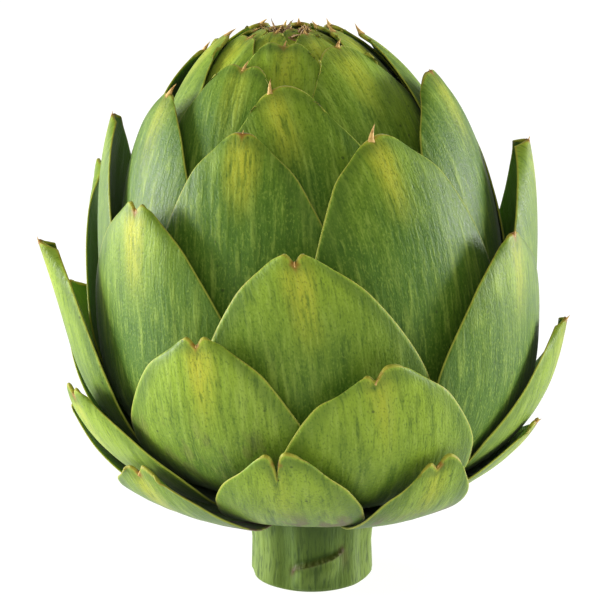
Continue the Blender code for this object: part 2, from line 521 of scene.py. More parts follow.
    def spine(self, spines: Spines) -> tuple[Array, Array, float]:
        """Places the spine, or the dry nub that stands for it.

        Args:
            spines: how spines stand on the tips.

        Returns:
            Its foot, the way it points, and its size beside a full spine.
        """
        across, share = np.array([[self.habit.notch_at / self.end_half_width]]), np.array([[1.0]])
        here = self.place(across, share)[0][0, 0]
        up = unit(here - self.place(across, share - spines.probe_down)[0][0, 0])
        side = unit(self.place(across + spines.probe_aside, share)[0][0, 0] - here)
        out = np.cross(side, up)
        aim = up + spines.outward_aim * out + self.habit.spine_lean * side
        size = self.tip.value.spine * (spines.largest - spines.shrinking * self.layer)
        return here - spines.sunk * up - spines.inset * out, unit(aim), size


class Graph:
    """A short way to write a tree of nodes, in a shader or in Geometry Nodes."""

    def __init__(self, tree: bpy.types.NodeTree) -> None:
        """Keeps the tree that nodes are added to."""
        self.tree = tree

    def add(self, kind: str, inputs: dict[Any, Any] | None = None, **settings: Any) -> bpy.types.Node:
        """Adds a node.

        Args:
            kind: the node's type.
            inputs: values or sockets by input name or index.
            settings: the node's own settings.

        Returns:
            The node.
        """
        node = self.tree.nodes.new(kind)
        for name, value in settings.items():
            setattr(node, name, value)
        for name, value in (inputs or {}).items():
            self.feed(node.inputs[name], value)
        return node

    def feed(self, socket: Socket, value: Any) -> None:
        """Links a socket to another, or sets its value.

        Args:
            socket: the input.
            value: a socket or a plain value.
        """
        if isinstance(value, Socket):
            self.tree.links.new(value, socket)
        else:
            socket.default_value = value

    def math(self, operation: str, *values: Value) -> Socket:
        """Adds a Math node on one to three values."""
        return self.add("ShaderNodeMath", dict(enumerate(values)), operation=operation).outputs[0]

    def total(self, *values: Value) -> Socket:
        """Adds values together."""
        return reduce(lambda first, second: self.math("ADD", first, second), values)

    def product(self, *values: Value) -> Socket:
        """Multiplies values together."""
        return reduce(lambda first, second: self.math("MULTIPLY", first, second), values)

    def vector(self, x: Value, y: Value, z: Value) -> Socket:
        """Joins three values into a vector."""
        return self.add("ShaderNodeCombineXYZ", {0: x, 1: y, 2: z}).outputs[0]

    def parts(self, vector: Socket) -> tuple[Socket, ...]:
        """Splits a vector into its three parts."""
        node = self.add("ShaderNodeSeparateXYZ", {0: vector})
        return node.outputs[0], node.outputs[1], node.outputs[2]

    def ease(self, value: Value, low: float, high: float, start: float = 0.0, end: float = 1.0) -> Socket:
        """Maps a value smoothly.

        Args:
            value: what to map.
            low: where the change starts.
            high: where the change ends.
            start: the result up to low.
            end: the result from high.

        Returns:
            The mapped value.
        """
        inputs = {"Value": value, "From Min": low, "From Max": high, "To Min": start, "To Max": end}
        return self.add("ShaderNodeMapRange", inputs, interpolation_type="SMOOTHSTEP").outputs[0]

    def noise(self, where: Socket, scale: float, detail: float = 2.0, rough: float = 0.5) -> Socket:
        """Reads a noise between 0 and 1.

        Args:
            where: the position to read it at.
            scale: how fine it is.
            detail: how many octaves it has.
            rough: how strong the finer octaves are.

        Returns:
            The noise.
        """
        inputs = {"Vector": where, "Scale": scale, "Detail": detail, "Roughness": rough}
        return self.add("ShaderNodeTexNoise", inputs, noise_dimensions="3D").outputs[0]

    def blend(self, share: Value, first: Any, second: Any) -> Socket:
        """Mixes two colours, each a socket or red, green and blue.

        Args:
            share: how much of the second.
            first: a colour.
            second: the other.

        Returns:
            The mixed colour.
        """
        pair = [(*c, 1.0) if isinstance(c, tuple) else c for c in (first, second)]
        inputs = {0: share, 6: pair[0], 7: pair[1]}
        return self.add("ShaderNodeMix", inputs, data_type="RGBA", clamp_factor=True).outputs[2]

    def stored(self, name: str) -> tuple[Socket, ...]:
        """Reads the three parts of a vector that the mesh carries, in a shader."""
        return self.parts(self.add("ShaderNodeAttribute", attribute_name=name).outputs["Vector"])

    def grain(self, across: Socket, along: Socket, seed: Value, grain: Grain) -> Socket:
        """Reads a noise stretched along a skin, at a distance across it and one along it.

        Args:
            across: the distance across the skin.
            along: the distance along it.
            seed: what sets this skin apart.
            grain: the noise's sizes.

        Returns:
            The noise.
        """
        per_across, per_along, shift, detail, rough = grain
        shift = self.total(seed, shift) if isinstance(seed, Socket) else shift
        where = self.vector(self.product(across, per_across), self.product(along, per_along), shift)
        return self.noise(where, 1.0, detail, rough)

    def finish(
        self, shader: bpy.types.Node, colour: Value, height: Value, bump: Pair, **constants: Value
    ) -> None:
        """Completes a Principled shader.

        Args:
            shader: the shader.
            colour: its base colour.
            height: what its bump follows.
            bump: the bump's strength and depth.
            constants: its other inputs, with _ for spaces.
        """
        self.feed(shader.inputs["Base Color"], colour)
        relief = self.add("ShaderNodeBump", {"Strength": bump[0], "Distance": bump[1], "Height": height})
        self.feed(shader.inputs["Normal"], relief.outputs[0])
        self.set(shader, **constants)

    def set(self, shader: bpy.types.Node, **values: Any) -> None:
        """Feeds a shader's inputs, named with _ for spaces."""
        for name, value in values.items():
            self.feed(shader.inputs[name.replace("_", " ")], value)


def new_material(name: str) -> tuple[Material, Graph, bpy.types.Node]:
    """Starts a material.

    Args:
        name: its name.

    Returns:
        The material, its graph, and its Principled shader.
    """
    made = bpy.data.materials.new(name)
    made.use_nodes = True
    return made, Graph(made.node_tree), made.node_tree.nodes["Principled BSDF"]


@dataclass(frozen=True)
class BractSkin:
    """The waxy green skin of a bract: fibres, an ochre patch, a darker band of painted shade by the edges, a
    thin rim partly of painted highlight, painted tip light and low shade.

    A grain is a noise stretched along the skin: features per metre across and along, its shift, its octaves,
    and how strong the finer ones are. A fade lists two distances or noise levels, then the results up to the
    first and from the second, 0 and 1 if left out.
    """

    shade: Colour = (0.076, 0.160, 0.014)
    light: Colour = (0.245, 0.360, 0.026)
    pale_fibre: Colour = (0.310, 0.425, 0.065)
    dark_fibre: Colour = (0.036, 0.092, 0.008)
    ochre: Colour = (0.520, 0.500, 0.038)
    # painted shade: the darker green band just inside the edges, where the surface curves away from the light
    band: Colour = (0.055, 0.115, 0.014)
    # partly the edge's own yellow-green and partly painted highlight on the thin rounded rim
    rim: Colour = (0.430, 0.450, 0.060)
    rust: Colour = (0.400, 0.230, 0.030)
    inside: Colour = (0.100, 0.210, 0.022)
    dry: Colour = (0.260, 0.120, 0.020)
    scar: Colour = (0.130, 0.080, 0.045)
    speck: Colour = (0.030, 0.050, 0.010)
    broad: Grain = (95, 42, 0.0, 2.0, 0.55)
    streaks: Grain = (520, 60, 3.3, 2.0, 0.55)
    fibres: Grain = (1500, 210, 6.1, 2.0, 0.55)
    grain: Grain = (2700, 1500, 9.2, 1.0, 0.55)
    blotches: Grain = (240, 110, 1.0, 5.0, 0.55)
    speck_scale: float = 330
    unevenness: float = 1.1
    # painted light: lighter towards the tip, partly the tip's own yellower green and partly painted light on
    # the exposed end
    tip_glow: Fade = (0.007, 0.026, 0.60, 0.0)
    tip_glow_wander: Pair = (0.5, 0.012)
    # painted shade: darker lower down the bract, where it runs under the outer leaves
    body_shade: Fade = (0.012, 0.034, 0.0, -0.36)
    streak_coats: tuple[Fade, Fade] = ((0.52, 0.76, 0.0, 0.55), (0.48, 0.26, 0.0, 0.45))
    fibre_coats: tuple[Fade, Fade] = ((0.52, 0.78, 0.0, 0.50), (0.48, 0.24, 0.0, 0.55))
    grain_coats: tuple[Fade, Fade] = ((0.52, 0.80, 0.0, 0.38), (0.48, 0.20, 0.0, 0.55))
    patch_wander: Triple = (0.005, 0.006, -0.0055)
    patch_side: Fade = (0.0002, 0.0046, 0.9, 0.0)
    patch_top: Fade = (0.0, 0.002, 0.4, 1.0)
    patch_foot: Fade = (0.004, 0.022, 1.0, 0.0)
    patch_grain: Fade = (0.36, 0.58, 0.35, 1.0)
    patch_mix: Pair = (0.6, 0.4)
    band_start: Fade = (0.0002, 0.0012)
    band_end: Fade = (0.0014, 0.0055, 1.0, 0.0)
    band_strength: Fade = (0.35, 0.65, 0.25, 0.60)
    speck_size: Fade = (0.06, 0.16, 0.7, 0.0)
    speck_where: Fade = (0.52, 0.62)
    inside_strength: float = 0.85
    rust_reach: Fade = (0.001, 0.010, 0.7, 0.15)
    rust_streaks: Fade = (0.35, 0.6, 0.4, 1.0)
    rim_width: Fade = (0.00008, 0.00034, 0.60, 0.0)
    dry_reach: Fade = (0.0011, 0.0029, 1.0, 0.0)
    dry_wander: Pair = (1.2, 0.0015)
    scar_start: Fade = (0.013, 0.024)
    scar_shape: Fade = (0.50, 0.62)
    roughness: Fade = (0.2, 0.8, 0.44, 0.60)
    relief: Triple = (0.6, 0.9, 0.45)
    bump: Pair = (0.6, 0.00030)
    sheen: float = 0.08
    sheen_roughness: float = 0.35
    specular: float = 0.20

    def make(self) -> Material:
        """Builds the material.

        Returns:
            The material.
        """
        made, g, shader = new_material("bract_skin")
        lateral, from_tip, from_edge = g.stored("skin")
        inner, tone, scar = g.stored("mark")
        ochre, dry, seed = g.stored("hue")
        away = g.math("ABSOLUTE", lateral)
        grains = (self.broad, self.streaks, self.fibres, self.grain, self.blotches)
        broad, streaks, fibres, grain, blotches = (g.grain(lateral, from_tip, seed, each) for each in grains)

        def mottled(under: Socket, pattern: Socket, coats: tuple[Fade, Fade]) -> Socket:
            """Lays pale fibres over a pattern's high parts, and dark ones over its low parts."""
            paler = g.blend(g.ease(pattern, *coats[0]), under, self.pale_fibre)
            return g.blend(g.ease(pattern, *coats[1]), paler, self.dark_fibre)

        # glow is painted light on the exposed tip, partly the tip's own yellower green
        aside, wander = (g.product(each, by) for each, by in zip((away, broad), self.tip_glow_wander))
        glow = g.ease(g.total(from_tip, aside, wander), *self.tip_glow)
        uneven = g.product(g.total(broad, -MID_NOISE), self.unevenness)
        # lightness mixes the real unevenness and tone with the painted tip light and the painted shade lower
        # down
        lightness = g.total(uneven, tone, glow, g.ease(from_tip, *self.body_shade))
        colour = mottled(g.blend(lightness, self.shade, self.light), streaks, self.streak_coats)

        by_streaks, by_broad, inset = self.patch_wander
        from_middle = g.total(away, g.product(streaks, by_streaks), g.product(broad, by_broad), inset)
        reach = g.ease(from_middle, *self.patch_side)
        fade = g.product(g.ease(from_tip, *self.patch_top), g.ease(from_tip, *self.patch_foot))
        mix = g.total(g.product(streaks, self.patch_mix[0]), g.product(fibres, self.patch_mix[1]))
        colour = g.blend(g.product(reach, fade, ochre, g.ease(mix, *self.patch_grain)), colour, self.ochre)
        colour = mottled(mottled(colour, fibres, self.fibre_coats), grain, self.grain_coats)

        # painted shade in a band just inside the edges
        band = g.product(g.ease(from_edge, *self.band_start), g.ease(from_edge, *self.band_end))
        colour = g.blend(g.product(band, g.ease(broad, *self.band_strength)), colour, self.band)
        spots = g.vector(g.product(lateral, self.speck_scale), g.product(from_tip, self.speck_scale), seed)
        specks = g.add("ShaderNodeTexVoronoi", {"Vector": spots, "Scale": 1.0}).outputs[0]
        speckled = g.product(g.ease(specks, *self.speck_size), g.ease(broad, *self.speck_where))
        colour = g.blend(speckled, colour, self.speck)
        colour = g.blend(g.product(inner, self.inside_strength), colour, self.inside)

        rusty = g.product(g.ease(from_tip, *self.rust_reach), g.ease(streaks, *self.rust_streaks), dry)
        # the thin rim: partly the edge's own yellow-green, partly painted highlight, rust-brown near dry tips
        colour = g.blend(g.ease(from_edge, *self.rim_width), colour, g.blend(rusty, self.rim, self.rust))
        aside, wander = (g.product(each, by) for each, by in zip((away, streaks), self.dry_wander))
        tip = g.total(g.math("ABSOLUTE", from_tip), aside, wander)
        colour = g.blend(g.product(g.ease(tip, *self.dry_reach), dry), colour, self.dry)
        low = g.product(g.ease(from_tip, *self.scar_start), g.ease(blotches, *self.scar_shape))
        colour = g.blend(g.product(low, scar), colour, self.scar)

        heights = (g.product(pattern, share) for pattern, share in zip((fibres, streaks, grain), self.relief))
        g.finish(
            shader,
            colour,
            g.total(*heights),
            self.bump,
            Roughness=g.ease(grain, *self.roughness),
            Sheen_Weight=self.sheen,
            Sheen_Roughness=self.sheen_roughness,
            Specular_IOR_Level=self.specular,
        )
        return made


@dataclass(frozen=True)
class StemSkin:
    """The stem's fibrous green skin, with pale strands and painted light and shade: paler flanks and crests,
    darker at the front, and painted shade under the leaves and in the scar.
    """

    shade: Colour = (0.075, 0.130, 0.016)
    light: Colour = (0.215, 0.310, 0.045)
    strand: Colour = (0.330, 0.420, 0.110)
    # the dark streaks' green, also used for painted shade: at the top under the leaves, and in the scar's
    # seam and groove
    deep: Colour = (0.030, 0.062, 0.009)
    cut: Colour = (0.420, 0.460, 0.230)
    scar: Colour = (0.060, 0.030, 0.009)
    broad: Grain = (130, 40, 2.0, 2.0, 0.5)
    strands: Grain = (560, 70, 5.0, 3.0, 0.6)
    fibres: Grain = (1900, 260, 9.0, 3.0, 0.6)
    # painted light: paler flanks, so that the front looks darker
    flank: Fade = (0.004, 0.016, 0.0, 0.55)
    # painted highlight: raised ribs and the swelling of the leaf scar made lighter
    ridge_light: float = 0.25
    darkening: float = -0.45
    strand_pale: Fade = (0.50, 0.74, 0.0, 0.50)
    # the dark streaks are partly the fibres' own colour and partly painted shade between the ribs
    fibre_dark: Fade = (0.52, 0.30, 0.0, 0.75)
    strand_dark: Fade = (0.46, 0.26, 0.0, 0.65)
    # painted shade: darker at the top of the stem, under the lowest leaves
    shoulder: Fade = (0.010, 0.019, 0.0, 0.80)
    # painted shade in the scar's seam and in the groove under its crest
    dent_dark: float = 0.55
    scar_grain: Fade = (0.30, 0.62, 0.55, 1.0)
    fibre_relief: float = 0.5
    bump: Pair = (0.8, 0.0004)
    roughness: float = 0.60
    sheen: float = 0.04
    specular: float = 0.20

    def make(self) -> Material:
        """Builds the material.

        Returns:
            The material.
        """
        made, g, shader = new_material("stem_skin")
        lateral, height, seam_painted_shade = g.stored("skin")
        cut, ridge, brown = g.stored("mark")
        grains = (self.broad, self.strands, self.fibres)
        broad, strands, fibres = (g.grain(lateral, height, 0.0, each) for each in grains)
        # painted light: the flanks paler and the front darker
        flank = g.ease(g.math("ABSOLUTE", lateral), *self.flank)
        # painted highlight on the raised parts joins the painted flank light
        lightness = g.total(broad, g.product(ridge, self.ridge_light), flank, self.darkening)
        colour = g.blend(lightness, self.shade, self.light)
        # pale strands show only on the flanks: partly the strands' own colour and partly painted light
        colour = g.blend(g.product(g.ease(strands, *self.strand_pale), flank), colour, self.strand)
        # the stem's top is darkened as painted shade under the lowest leaves
        darker = ((fibres, self.fibre_dark), (strands, self.strand_dark), (height, self.shoulder))
        for pattern, fade in darker:
            colour = g.blend(g.ease(pattern, *fade), colour, self.deep)
        # painted shade in the seam and in the groove under the scar's crest
        colour = g.blend(g.product(seam_painted_shade, self.dent_dark), colour, self.deep)
        colour = g.blend(g.product(brown, g.ease(fibres, *self.scar_grain)), colour, self.scar)
        g.finish(
            shader,
            g.blend(cut, colour, self.cut),
            g.total(strands, g.product(fibres, self.fibre_relief)),
            self.bump,
            Roughness=self.roughness,
            Sheen_Weight=self.sheen,
            Specular_IOR_Level=self.specular,
        )
        return made


@dataclass(frozen=True)
class DryTip:
    """The straw-brown of spines and dried leaf ends."""

    name: str = "dry_tip"
    dark: Colour = (0.360, 0.170, 0.035)
    straw: Colour = (0.700, 0.450, 0.140)
    mottle_scale: float = 900
    mottle: Fade = (0.28, 0.55)
    relief_scale: float = 3000
    bump: Pair = (0.4, 0.0001)
    roughness: float = 0.6

    def make(self) -> Material:
        """Builds the material.

        Returns:
            The material.
        """
        made, g, shader = new_material(self.name)
        where = g.add("ShaderNodeTexCoord").outputs["Object"]
        colour = g.blend(g.ease(g.noise(where, self.mottle_scale), *self.mottle), self.dark, self.straw)
        g.finish(shader, colour, g.noise(where, self.relief_scale), self.bump, Roughness=self.roughness)
        return made


@dataclass(frozen=True)
class PaleFloor:
    """A matte grey floor that glows, so that it looks white and the shadows on it stay pale."""

    colour: Colour = (0.20, 0.20, 0.20)
    glow_colour: Colour = (1.0, 1.0, 1.0)
    glow: float = 0.92
    roughness: float = 0.9
    specular: float = 0.1

    def make(self) -> Material:
        """Builds the material.

        Returns:
            The material.
        """
        made, g, shader = new_material("pale_floor")
        g.set(shader, Base_Color=(*self.colour, 1.0), Emission_Color=(*self.glow_colour, 1.0))
        g.set(shader, Emission_Strength=self.glow, Roughness=self.roughness, Specular_IOR_Level=self.specular)
        return made


class GeometryTree:
    """A Geometry Nodes tree with named inputs, which ends in realised instances and a material."""

    def __init__(self, name: str, inputs: dict[str, str]) -> None:
        """Starts the tree.

        Args:
            name: the tree's name.
            inputs: the socket type of each named input.
        """
        self.tree = bpy.data.node_groups.new(name, "GeometryNodeTree")
        self.graph = Graph(self.tree)
        face = self.tree.interface
        face.new_socket("Geometry", in_out="INPUT", socket_type="NodeSocketGeometry")
        for label, kind in inputs.items():
            face.new_socket(label, in_out="INPUT", socket_type=kind)
        face.new_socket("Material", in_out="INPUT", socket_type="NodeSocketMaterial")
        face.new_socket("Geometry", in_out="OUTPUT", socket_type="NodeSocketGeometry")
        self.start = self.tree.nodes.new("NodeGroupInput")

    def read(self, name: str) -> Socket:
        """Gives the socket of a named input."""
        return self.start.outputs[name]

    def attribute(self, name: str, kind: str = "FLOAT_VECTOR") -> Socket:
        """Reads an attribute that is stored on the mesh."""
        node = self.graph.add("GeometryNodeInputNamedAttribute", {"Name": name}, data_type=kind)
        return node.outputs["Attribute"]

    def close(self, geometry: Socket) -> None:
        """Ends the tree in realised instances and the material.

        Args:
            geometry: what the tree has made.
        """
        real = self.graph.add("GeometryNodeRealizeInstances", {"Geometry": geometry}).outputs[0]
        inputs = {"Geometry": real, "Material": self.read("Material")}
        dressed = self.graph.add("GeometryNodeSetMaterial", inputs)
        end = self.tree.nodes.new("NodeGroupOutput")
        self.tree.links.new(dressed.outputs[0], end.inputs[0])

    def apply(self, piece: Piece, **values: Any) -> None:
        """Runs the tree on a piece and keeps its result as a plain mesh.

        Args:
            piece: the object.
            values: a value for each input, its name in lower case with _ for spaces.
        """
        modifier = piece.modifiers.new(self.tree.name, "NODES")
        modifier.node_group = self.tree
        for item in self.tree.interface.items_tree:
            key = item.name.lower().replace(" ", "_")
            if item.in_out == "INPUT" and key in values:
                modifier[item.identifier] = values[key]
        graph = bpy.context.evaluated_depsgraph_get()
        grown = piece.evaluated_get(graph)
        mesh = bpy.data.meshes.new_from_object(grown, preserve_all_data_layers=True, depsgraph=graph)
        piece.modifiers.remove(modifier)
        piece.data = mesh


def relief_tree() -> GeometryTree:
    """Builds the tree that raises lengthwise ribs and slow waves on a skin.

    Returns:
        The tree. It reads where each point is on the skin, and moves it along the skin's outward direction.
    """
    rib_run, wave_run, rib_detail = 14, 2, 1.5
    calm_edge: Fade = (0.0, 0.003, 0.4, 1.0)
    kinds = ("Rib Height", "Rib Spacing", "Wave Height", "Wave Length", "Seed")
    made = GeometryTree("skin_relief", {kind: "NodeSocketFloat" for kind in kinds})
    g = made.graph
    lateral, reach, edge = g.parts(made.attribute("skin"))

    def swell(size: str, height: str, run: float, detail: float) -> Socket:
        """Reads a noise as high and as far across as two inputs say, and longer than wide by the run.

        Args:
            size: the input for how far across.
            height: the input for how high.
            run: how many times longer than wide.
            detail: how many octaves it has.

        Returns:
            The height.
        """
        across, along = g.math("DIVIDE", lateral, made.read(size)), g.product(made.read(size), run)
        where = g.vector(across, g.math("DIVIDE", reach, along), made.read("Seed"))
        return g.product(g.total(g.noise(where, 1.0, detail), -MID_NOISE), made.read(height))

    ribs = g.product(swell("Rib Spacing", "Rib Height", rib_run, rib_detail), g.ease(edge, *calm_edge))
    waves = swell("Wave Length", "Wave Height", wave_run, 0.0)
    by = {0: made.attribute("outward"), "Scale": g.total(ribs, waves)}
    push = g.add("ShaderNodeVectorMath", by, operation="SCALE").outputs[0]
    moved = g.add("GeometryNodeSetPosition", {"Geometry": made.read("Geometry"), "Offset": push})
    made.close(moved.outputs[0])
    return made


def spine_tree() -> GeometryTree:
    """Builds the tree that plants a small curved spine on every point it is given.

    Returns:
        The tree. Each point says where its spine aims and how large it is.
    """
    rings, sides, hook_power, taper_power, taper = 9, 10, 2.0, 0.8, -0.97
    kinds = ("Length", "Base Radius", "Hook")
    made = GeometryTree("spines", {kind: "NodeSocketFloat" for kind in kinds})
    g = made.graph
    line = g.add("GeometryNodeCurvePrimitiveLine", {"End": (0.0, 0.0, 1.0)}).outputs[0]
    line = g.add("GeometryNodeResampleCurve", {"Curve": line, "Count": rings}).outputs[0]
    factor = g.add("GeometryNodeSplineParameter").outputs["Factor"]
    hooked = g.product(g.math("POWER", factor, hook_power), made.read("Hook"))
    bend = g.vector(hooked, 0.0, g.product(factor, made.read("Length")))
    line = g.add("GeometryNodeSetPosition", {"Geometry": line, "Position": bend}).outputs[0]
    thinner = g.total(g.product(g.math("POWER", factor, taper_power), taper), 1.0)
    width = g.product(thinner, made.read("Base Radius"))
    ring = g.add("GeometryNodeCurvePrimitiveCircle", {"Resolution": sides, "Radius": 1.0}).outputs[0]
    sweep = {"Curve": line, "Profile Curve": ring, "Scale": width, "Fill Caps": True}
    spike = g.add("GeometryNodeCurveToMesh", sweep).outputs[0]
    aim = {"Vector": made.attribute("aim")}
    turned = g.add("FunctionNodeAlignRotationToVector", aim, axis="Z").outputs[0]
    plants = {"Points": made.read("Geometry"), "Instance": spike, "Rotation": turned}
    plants["Scale"] = made.attribute("size", "FLOAT")
    made.close(g.add("GeometryNodeInstanceOnPoints", plants).outputs[0])
    return made


def add_mesh(name: str, points: Array, faces: Faces) -> Piece:
    """Links a mesh as an object at the origin, shaded smooth, a closed one with its faces outwards.

    Args:
        name: the piece's name.
        points: one row for each vertex.
        faces: vertex numbers round each face.

    Returns:
        The object.
    """
    mesh = bpy.data.meshes.new(name)
    mesh.from_pydata(points.tolist(), [], [tuple(int(corner) for corner in face) for face in faces])
    mesh.update()
    shape = bmesh.new()
    shape.from_mesh(mesh)
    if shape.calc_volume(signed=True) < 0:
        mesh.flip_normals()
    shape.free()
    mesh.shade_smooth()
    made = bpy.data.objects.new(name, mesh)
    bpy.context.scene.collection.objects.link(made)
    return made


def store(piece: Piece, **attributes: Any) -> None:
    """Stores attributes for each vertex of a piece.

    Args:
        piece: the object.
        attributes: by name, a number or a vector for each vertex, or a tuple of three columns or numbers.
    """
    count = len(piece.data.vertices)
    for name, values in attributes.items():
        if isinstance(values, tuple):
            values = np.stack([np.broadcast_to(column, count) for column in values], -1)
        many = values.ndim == 2
        kept = piece.data.attributes.new(name, "FLOAT_VECTOR" if many else "FLOAT", "POINT")
        kept.data.foreach_set("vector" if many else "value", np.ascontiguousarray(values, np.float32).ravel())


def turned(angle: Array, reach: Array, level: Array) -> Array:
    """Places points round the axis, with angles counted from the front."""
    return np.stack([reach * np.sin(angle), -reach * np.cos(angle), level], -1)


def side_faces(number: Array) -> Faces:
    """Lists the faces of a grid of vertex numbers whose rows run right round the axis.

    Args:
        number: the grid, one row for each ring.

    Returns:
        Four vertex numbers for each face.
    """
    rings, sides = number.shape
    after = {k: (k + 1) % sides for k in range(sides)}
    return [
        (number[j, k], number[j, after[k]], number[j + 1, after[k]], number[j + 1, k])
        for k in range(sides)
        for j in range(rings - 1)
    ]


@dataclass
class Bench:
    """What every piece is made with: the shells, the bend of the axis, and the tree that raises ribs."""

    shells: Shells
    lean: Lean
    relief: GeometryTree


class Head:
    """The bracts of the head, and the spines and dried ends at their tips.

    INNER_RIBS lists how much higher ribs stand in the inner leaves, and the layers between which they rise.
    """

    TONES: Table = ((0.0, 0.55), (0.24, 0.75), (0.34, 0.6), (0.42, 0.25), (0.65, 0.3), (0.8, 0.7), (1.0, 0.9))
    TONE_SPREAD = 0.05
    SEED_STEP = 1.7
    RELIEF = Relief(rib_height=0.00032, rib_spacing=0.0030, wave_height=0.0011, wave_length=0.020, seed=0.0)
    INNER_RIBS = (0.00030, 0.4, 0.7)
    RIM_SWELL = 0.45
    CHANCE_SEED = 20

    def __init__(self, bench: Bench, habits: dict[int, Habit]) -> None:
        """Grows every bract.

        Args:
            bench: what the pieces are made with.
            habits: how single bracts depart from the rule, by number.
        """
        spiral, form = Spiral(), BractForm()
        self.bench = bench
        self.bracts = [
            Bract(number, habits.get(number, Habit()), spiral, bench.shells, form, bench.lean)
            for number in range(spiral.bracts)
        ]
        self.chance = np.random.default_rng(self.CHANCE_SEED)

    def build_bract(self, bract: Bract, skin: Material) -> Piece:
        """Makes one bract as a closed, ribbed shell with a rounded rim.

        Args:
            bract: which bract.
            skin: its finish.

        Returns:
            The piece.
        """
        patch, habit, seed = bract.patch(), bract.habit, self.SEED_STEP * bract.number
        points, faces, pick, is_inner = self.shell_of(patch)
        made = add_mesh(f"leaf_{bract.number + 1:02d}", points, faces)
        chance = float(self.chance.uniform(-self.TONE_SPREAD, self.TONE_SPREAD))
        tone = habit.tone + at_layer(bract.layer, self.TONES) + chance
        # On a notched end the dry spot sits at the bottom of the notch.
        bottom = np.array([habit.notch_at / bract.end_half_width])
        from_tip = patch.from_tip[pick] - (float(bract.notch_drop(bottom)[0]) - habit.crack)
        store(
            made,
            skin=(patch.lateral[pick], from_tip, patch.from_edge[pick]),
            mark=(is_inner, tone, habit.scar),
            hue=(habit.ochre, bract.tip.value.dry, seed),
            outward=patch.outward[pick],
        )
        more, low, high = self.INNER_RIBS
        ribs = self.RELIEF.rib_height + more * float(smooth_step(np.array(bract.layer), low, high))
        relief = replace(self.RELIEF, rib_height=ribs, seed=seed)
        self.bench.relief.apply(made, **asdict(relief), material=skin)
        return made

    def shell_of(self, patch: Patch) -> tuple[Array, Faces, tuple[Array, Array], Array]:
        """Closes a patch's two faces round a rounded rim.

        Args:
            patch: the faces on a grid.

        Returns:
            The points, the faces, each point's row and column, and 1 for each point on the inner face.
        """
        m, n = (size - 1 for size in patch.outer.shape[:2])
        outer = np.arange((m + 1) * (n + 1)).reshape(m + 1, n + 1)
        inner = outer + outer.size
        left = np.arange(m + 1) + 2 * outer.size
        right = left + m + 1
        middle = np.concatenate([[left[m]], np.arange(n - 1) + right[m] + 1, [right[m]]])
        centre = (patch.outer + patch.inner) / 2
        up, all_up = np.arange(m + 1), np.full(n - 1, m)
        all_left, along, all_right = np.zeros(m + 1, int), np.arange(1, n), np.full(m + 1, n)
        # The loop goes up the left edge, across the end and down the right edge.
        loop = np.concatenate([up, all_up, up[::-1]]), np.concatenate([all_left, along, all_right])
        away = unit(np.cross(patch.outward[loop], unit(np.gradient(centre[loop], axis=0))))
        rim = centre[loop] + self.RIM_SWELL * patch.thick[loop][:, None] * away
        rims = [rim[: m + 1], rim[m + n :][::-1], rim[m + 1 : m + n]]
        points = np.concatenate([patch.outer.reshape(-1, 3), patch.inner.reshape(-1, 3), *rims])
        faces: Faces = []
        for j in range(m):
            k = j + 1
            faces += [(outer[j, i], outer[j, i + 1], outer[k, i + 1], outer[k, i]) for i in range(n)]
            faces += [(inner[j, i + 1], inner[j, i], inner[k, i], inner[k, i + 1]) for i in range(n)]
            for a, b, rail in ((outer[:, n], inner[:, n], right), (inner[:, 0], outer[:, 0], left)):
                faces += [(a[j], rail[j], rail[k], a[k]), (rail[j], b[j], b[k], rail[k])]
        for i in range(n):
            faces += [(outer[m, i], outer[m, i + 1], middle[i + 1], middle[i])]
            faces += [(inner[m, i + 1], inner[m, i], middle[i], middle[i + 1])]
            faces += [(outer[0, i + 1], outer[0, i], inner[0, i], inner[0, i + 1])]
        faces += [(outer[0, 0], left[0], inner[0, 0]), (outer[0, n], inner[0, n], right[0])]
        j, i = (grid.ravel() for grid in np.indices(outer.shape))
        rows = np.concatenate([j, j, up, up, all_up])
        columns = np.concatenate([i, i, all_left, all_right, along])
        is_inner = np.zeros(len(points))
        is_inner[outer.size : 2 * outer.size] = 1.0
        return points, faces, (rows, columns), is_inner

    def build_spines(self, tree: GeometryTree, finish: Material) -> Piece:
        """Plants a spine, or the nub that is left of one, on each tip.

        Args:
            tree: the tree that plants spines.
            finish: their finish.

        Returns:
            The piece.
        """
        form = Spines()
        places, aims, sizes = (np.array(each) for each in zip(*(bract.spine(form) for bract in self.bracts)))
        made = add_mesh("tip_spines", places, [])
        store(made, aim=aims, size=sizes)
        tree.apply(made, length=form.length, base_radius=form.base_radius, hook=form.hook, material=finish)
        return made

    def build_tuft(self, tree: GeometryTree, finish: Material) -> Piece:
        """Plants the tangle of dried leaf ends at the very top.

        Args:
            tree: the tree that plants spines.
            finish: their finish.

        Returns:
            The piece.
        """
        form = Tuft()
        turn = self.chance.uniform(0, 2 * math.pi, form.count)
        out = form.spread * np.sqrt(self.chance.uniform(0, 1, form.count))
        height = form.top - form.dome * out**2
        places = np.stack([out * np.cos(turn), out * np.sin(turn) - form.back, height], -1)
        lie = self.chance.uniform(0, 2 * math.pi, form.count)
        aims = np.stack([np.cos(lie), np.sin(lie), self.chance.uniform(*form.rise, form.count)], -1)
        made = add_mesh("dried_tuft", self.bench.lean.bend(places), [])
        store(made, aim=unit(aims), size=self.chance.uniform(*form.sizes, form.count))
        tree.apply(made, length=form.length, base_radius=form.base_radius, hook=form.hook, material=finish)
        return made


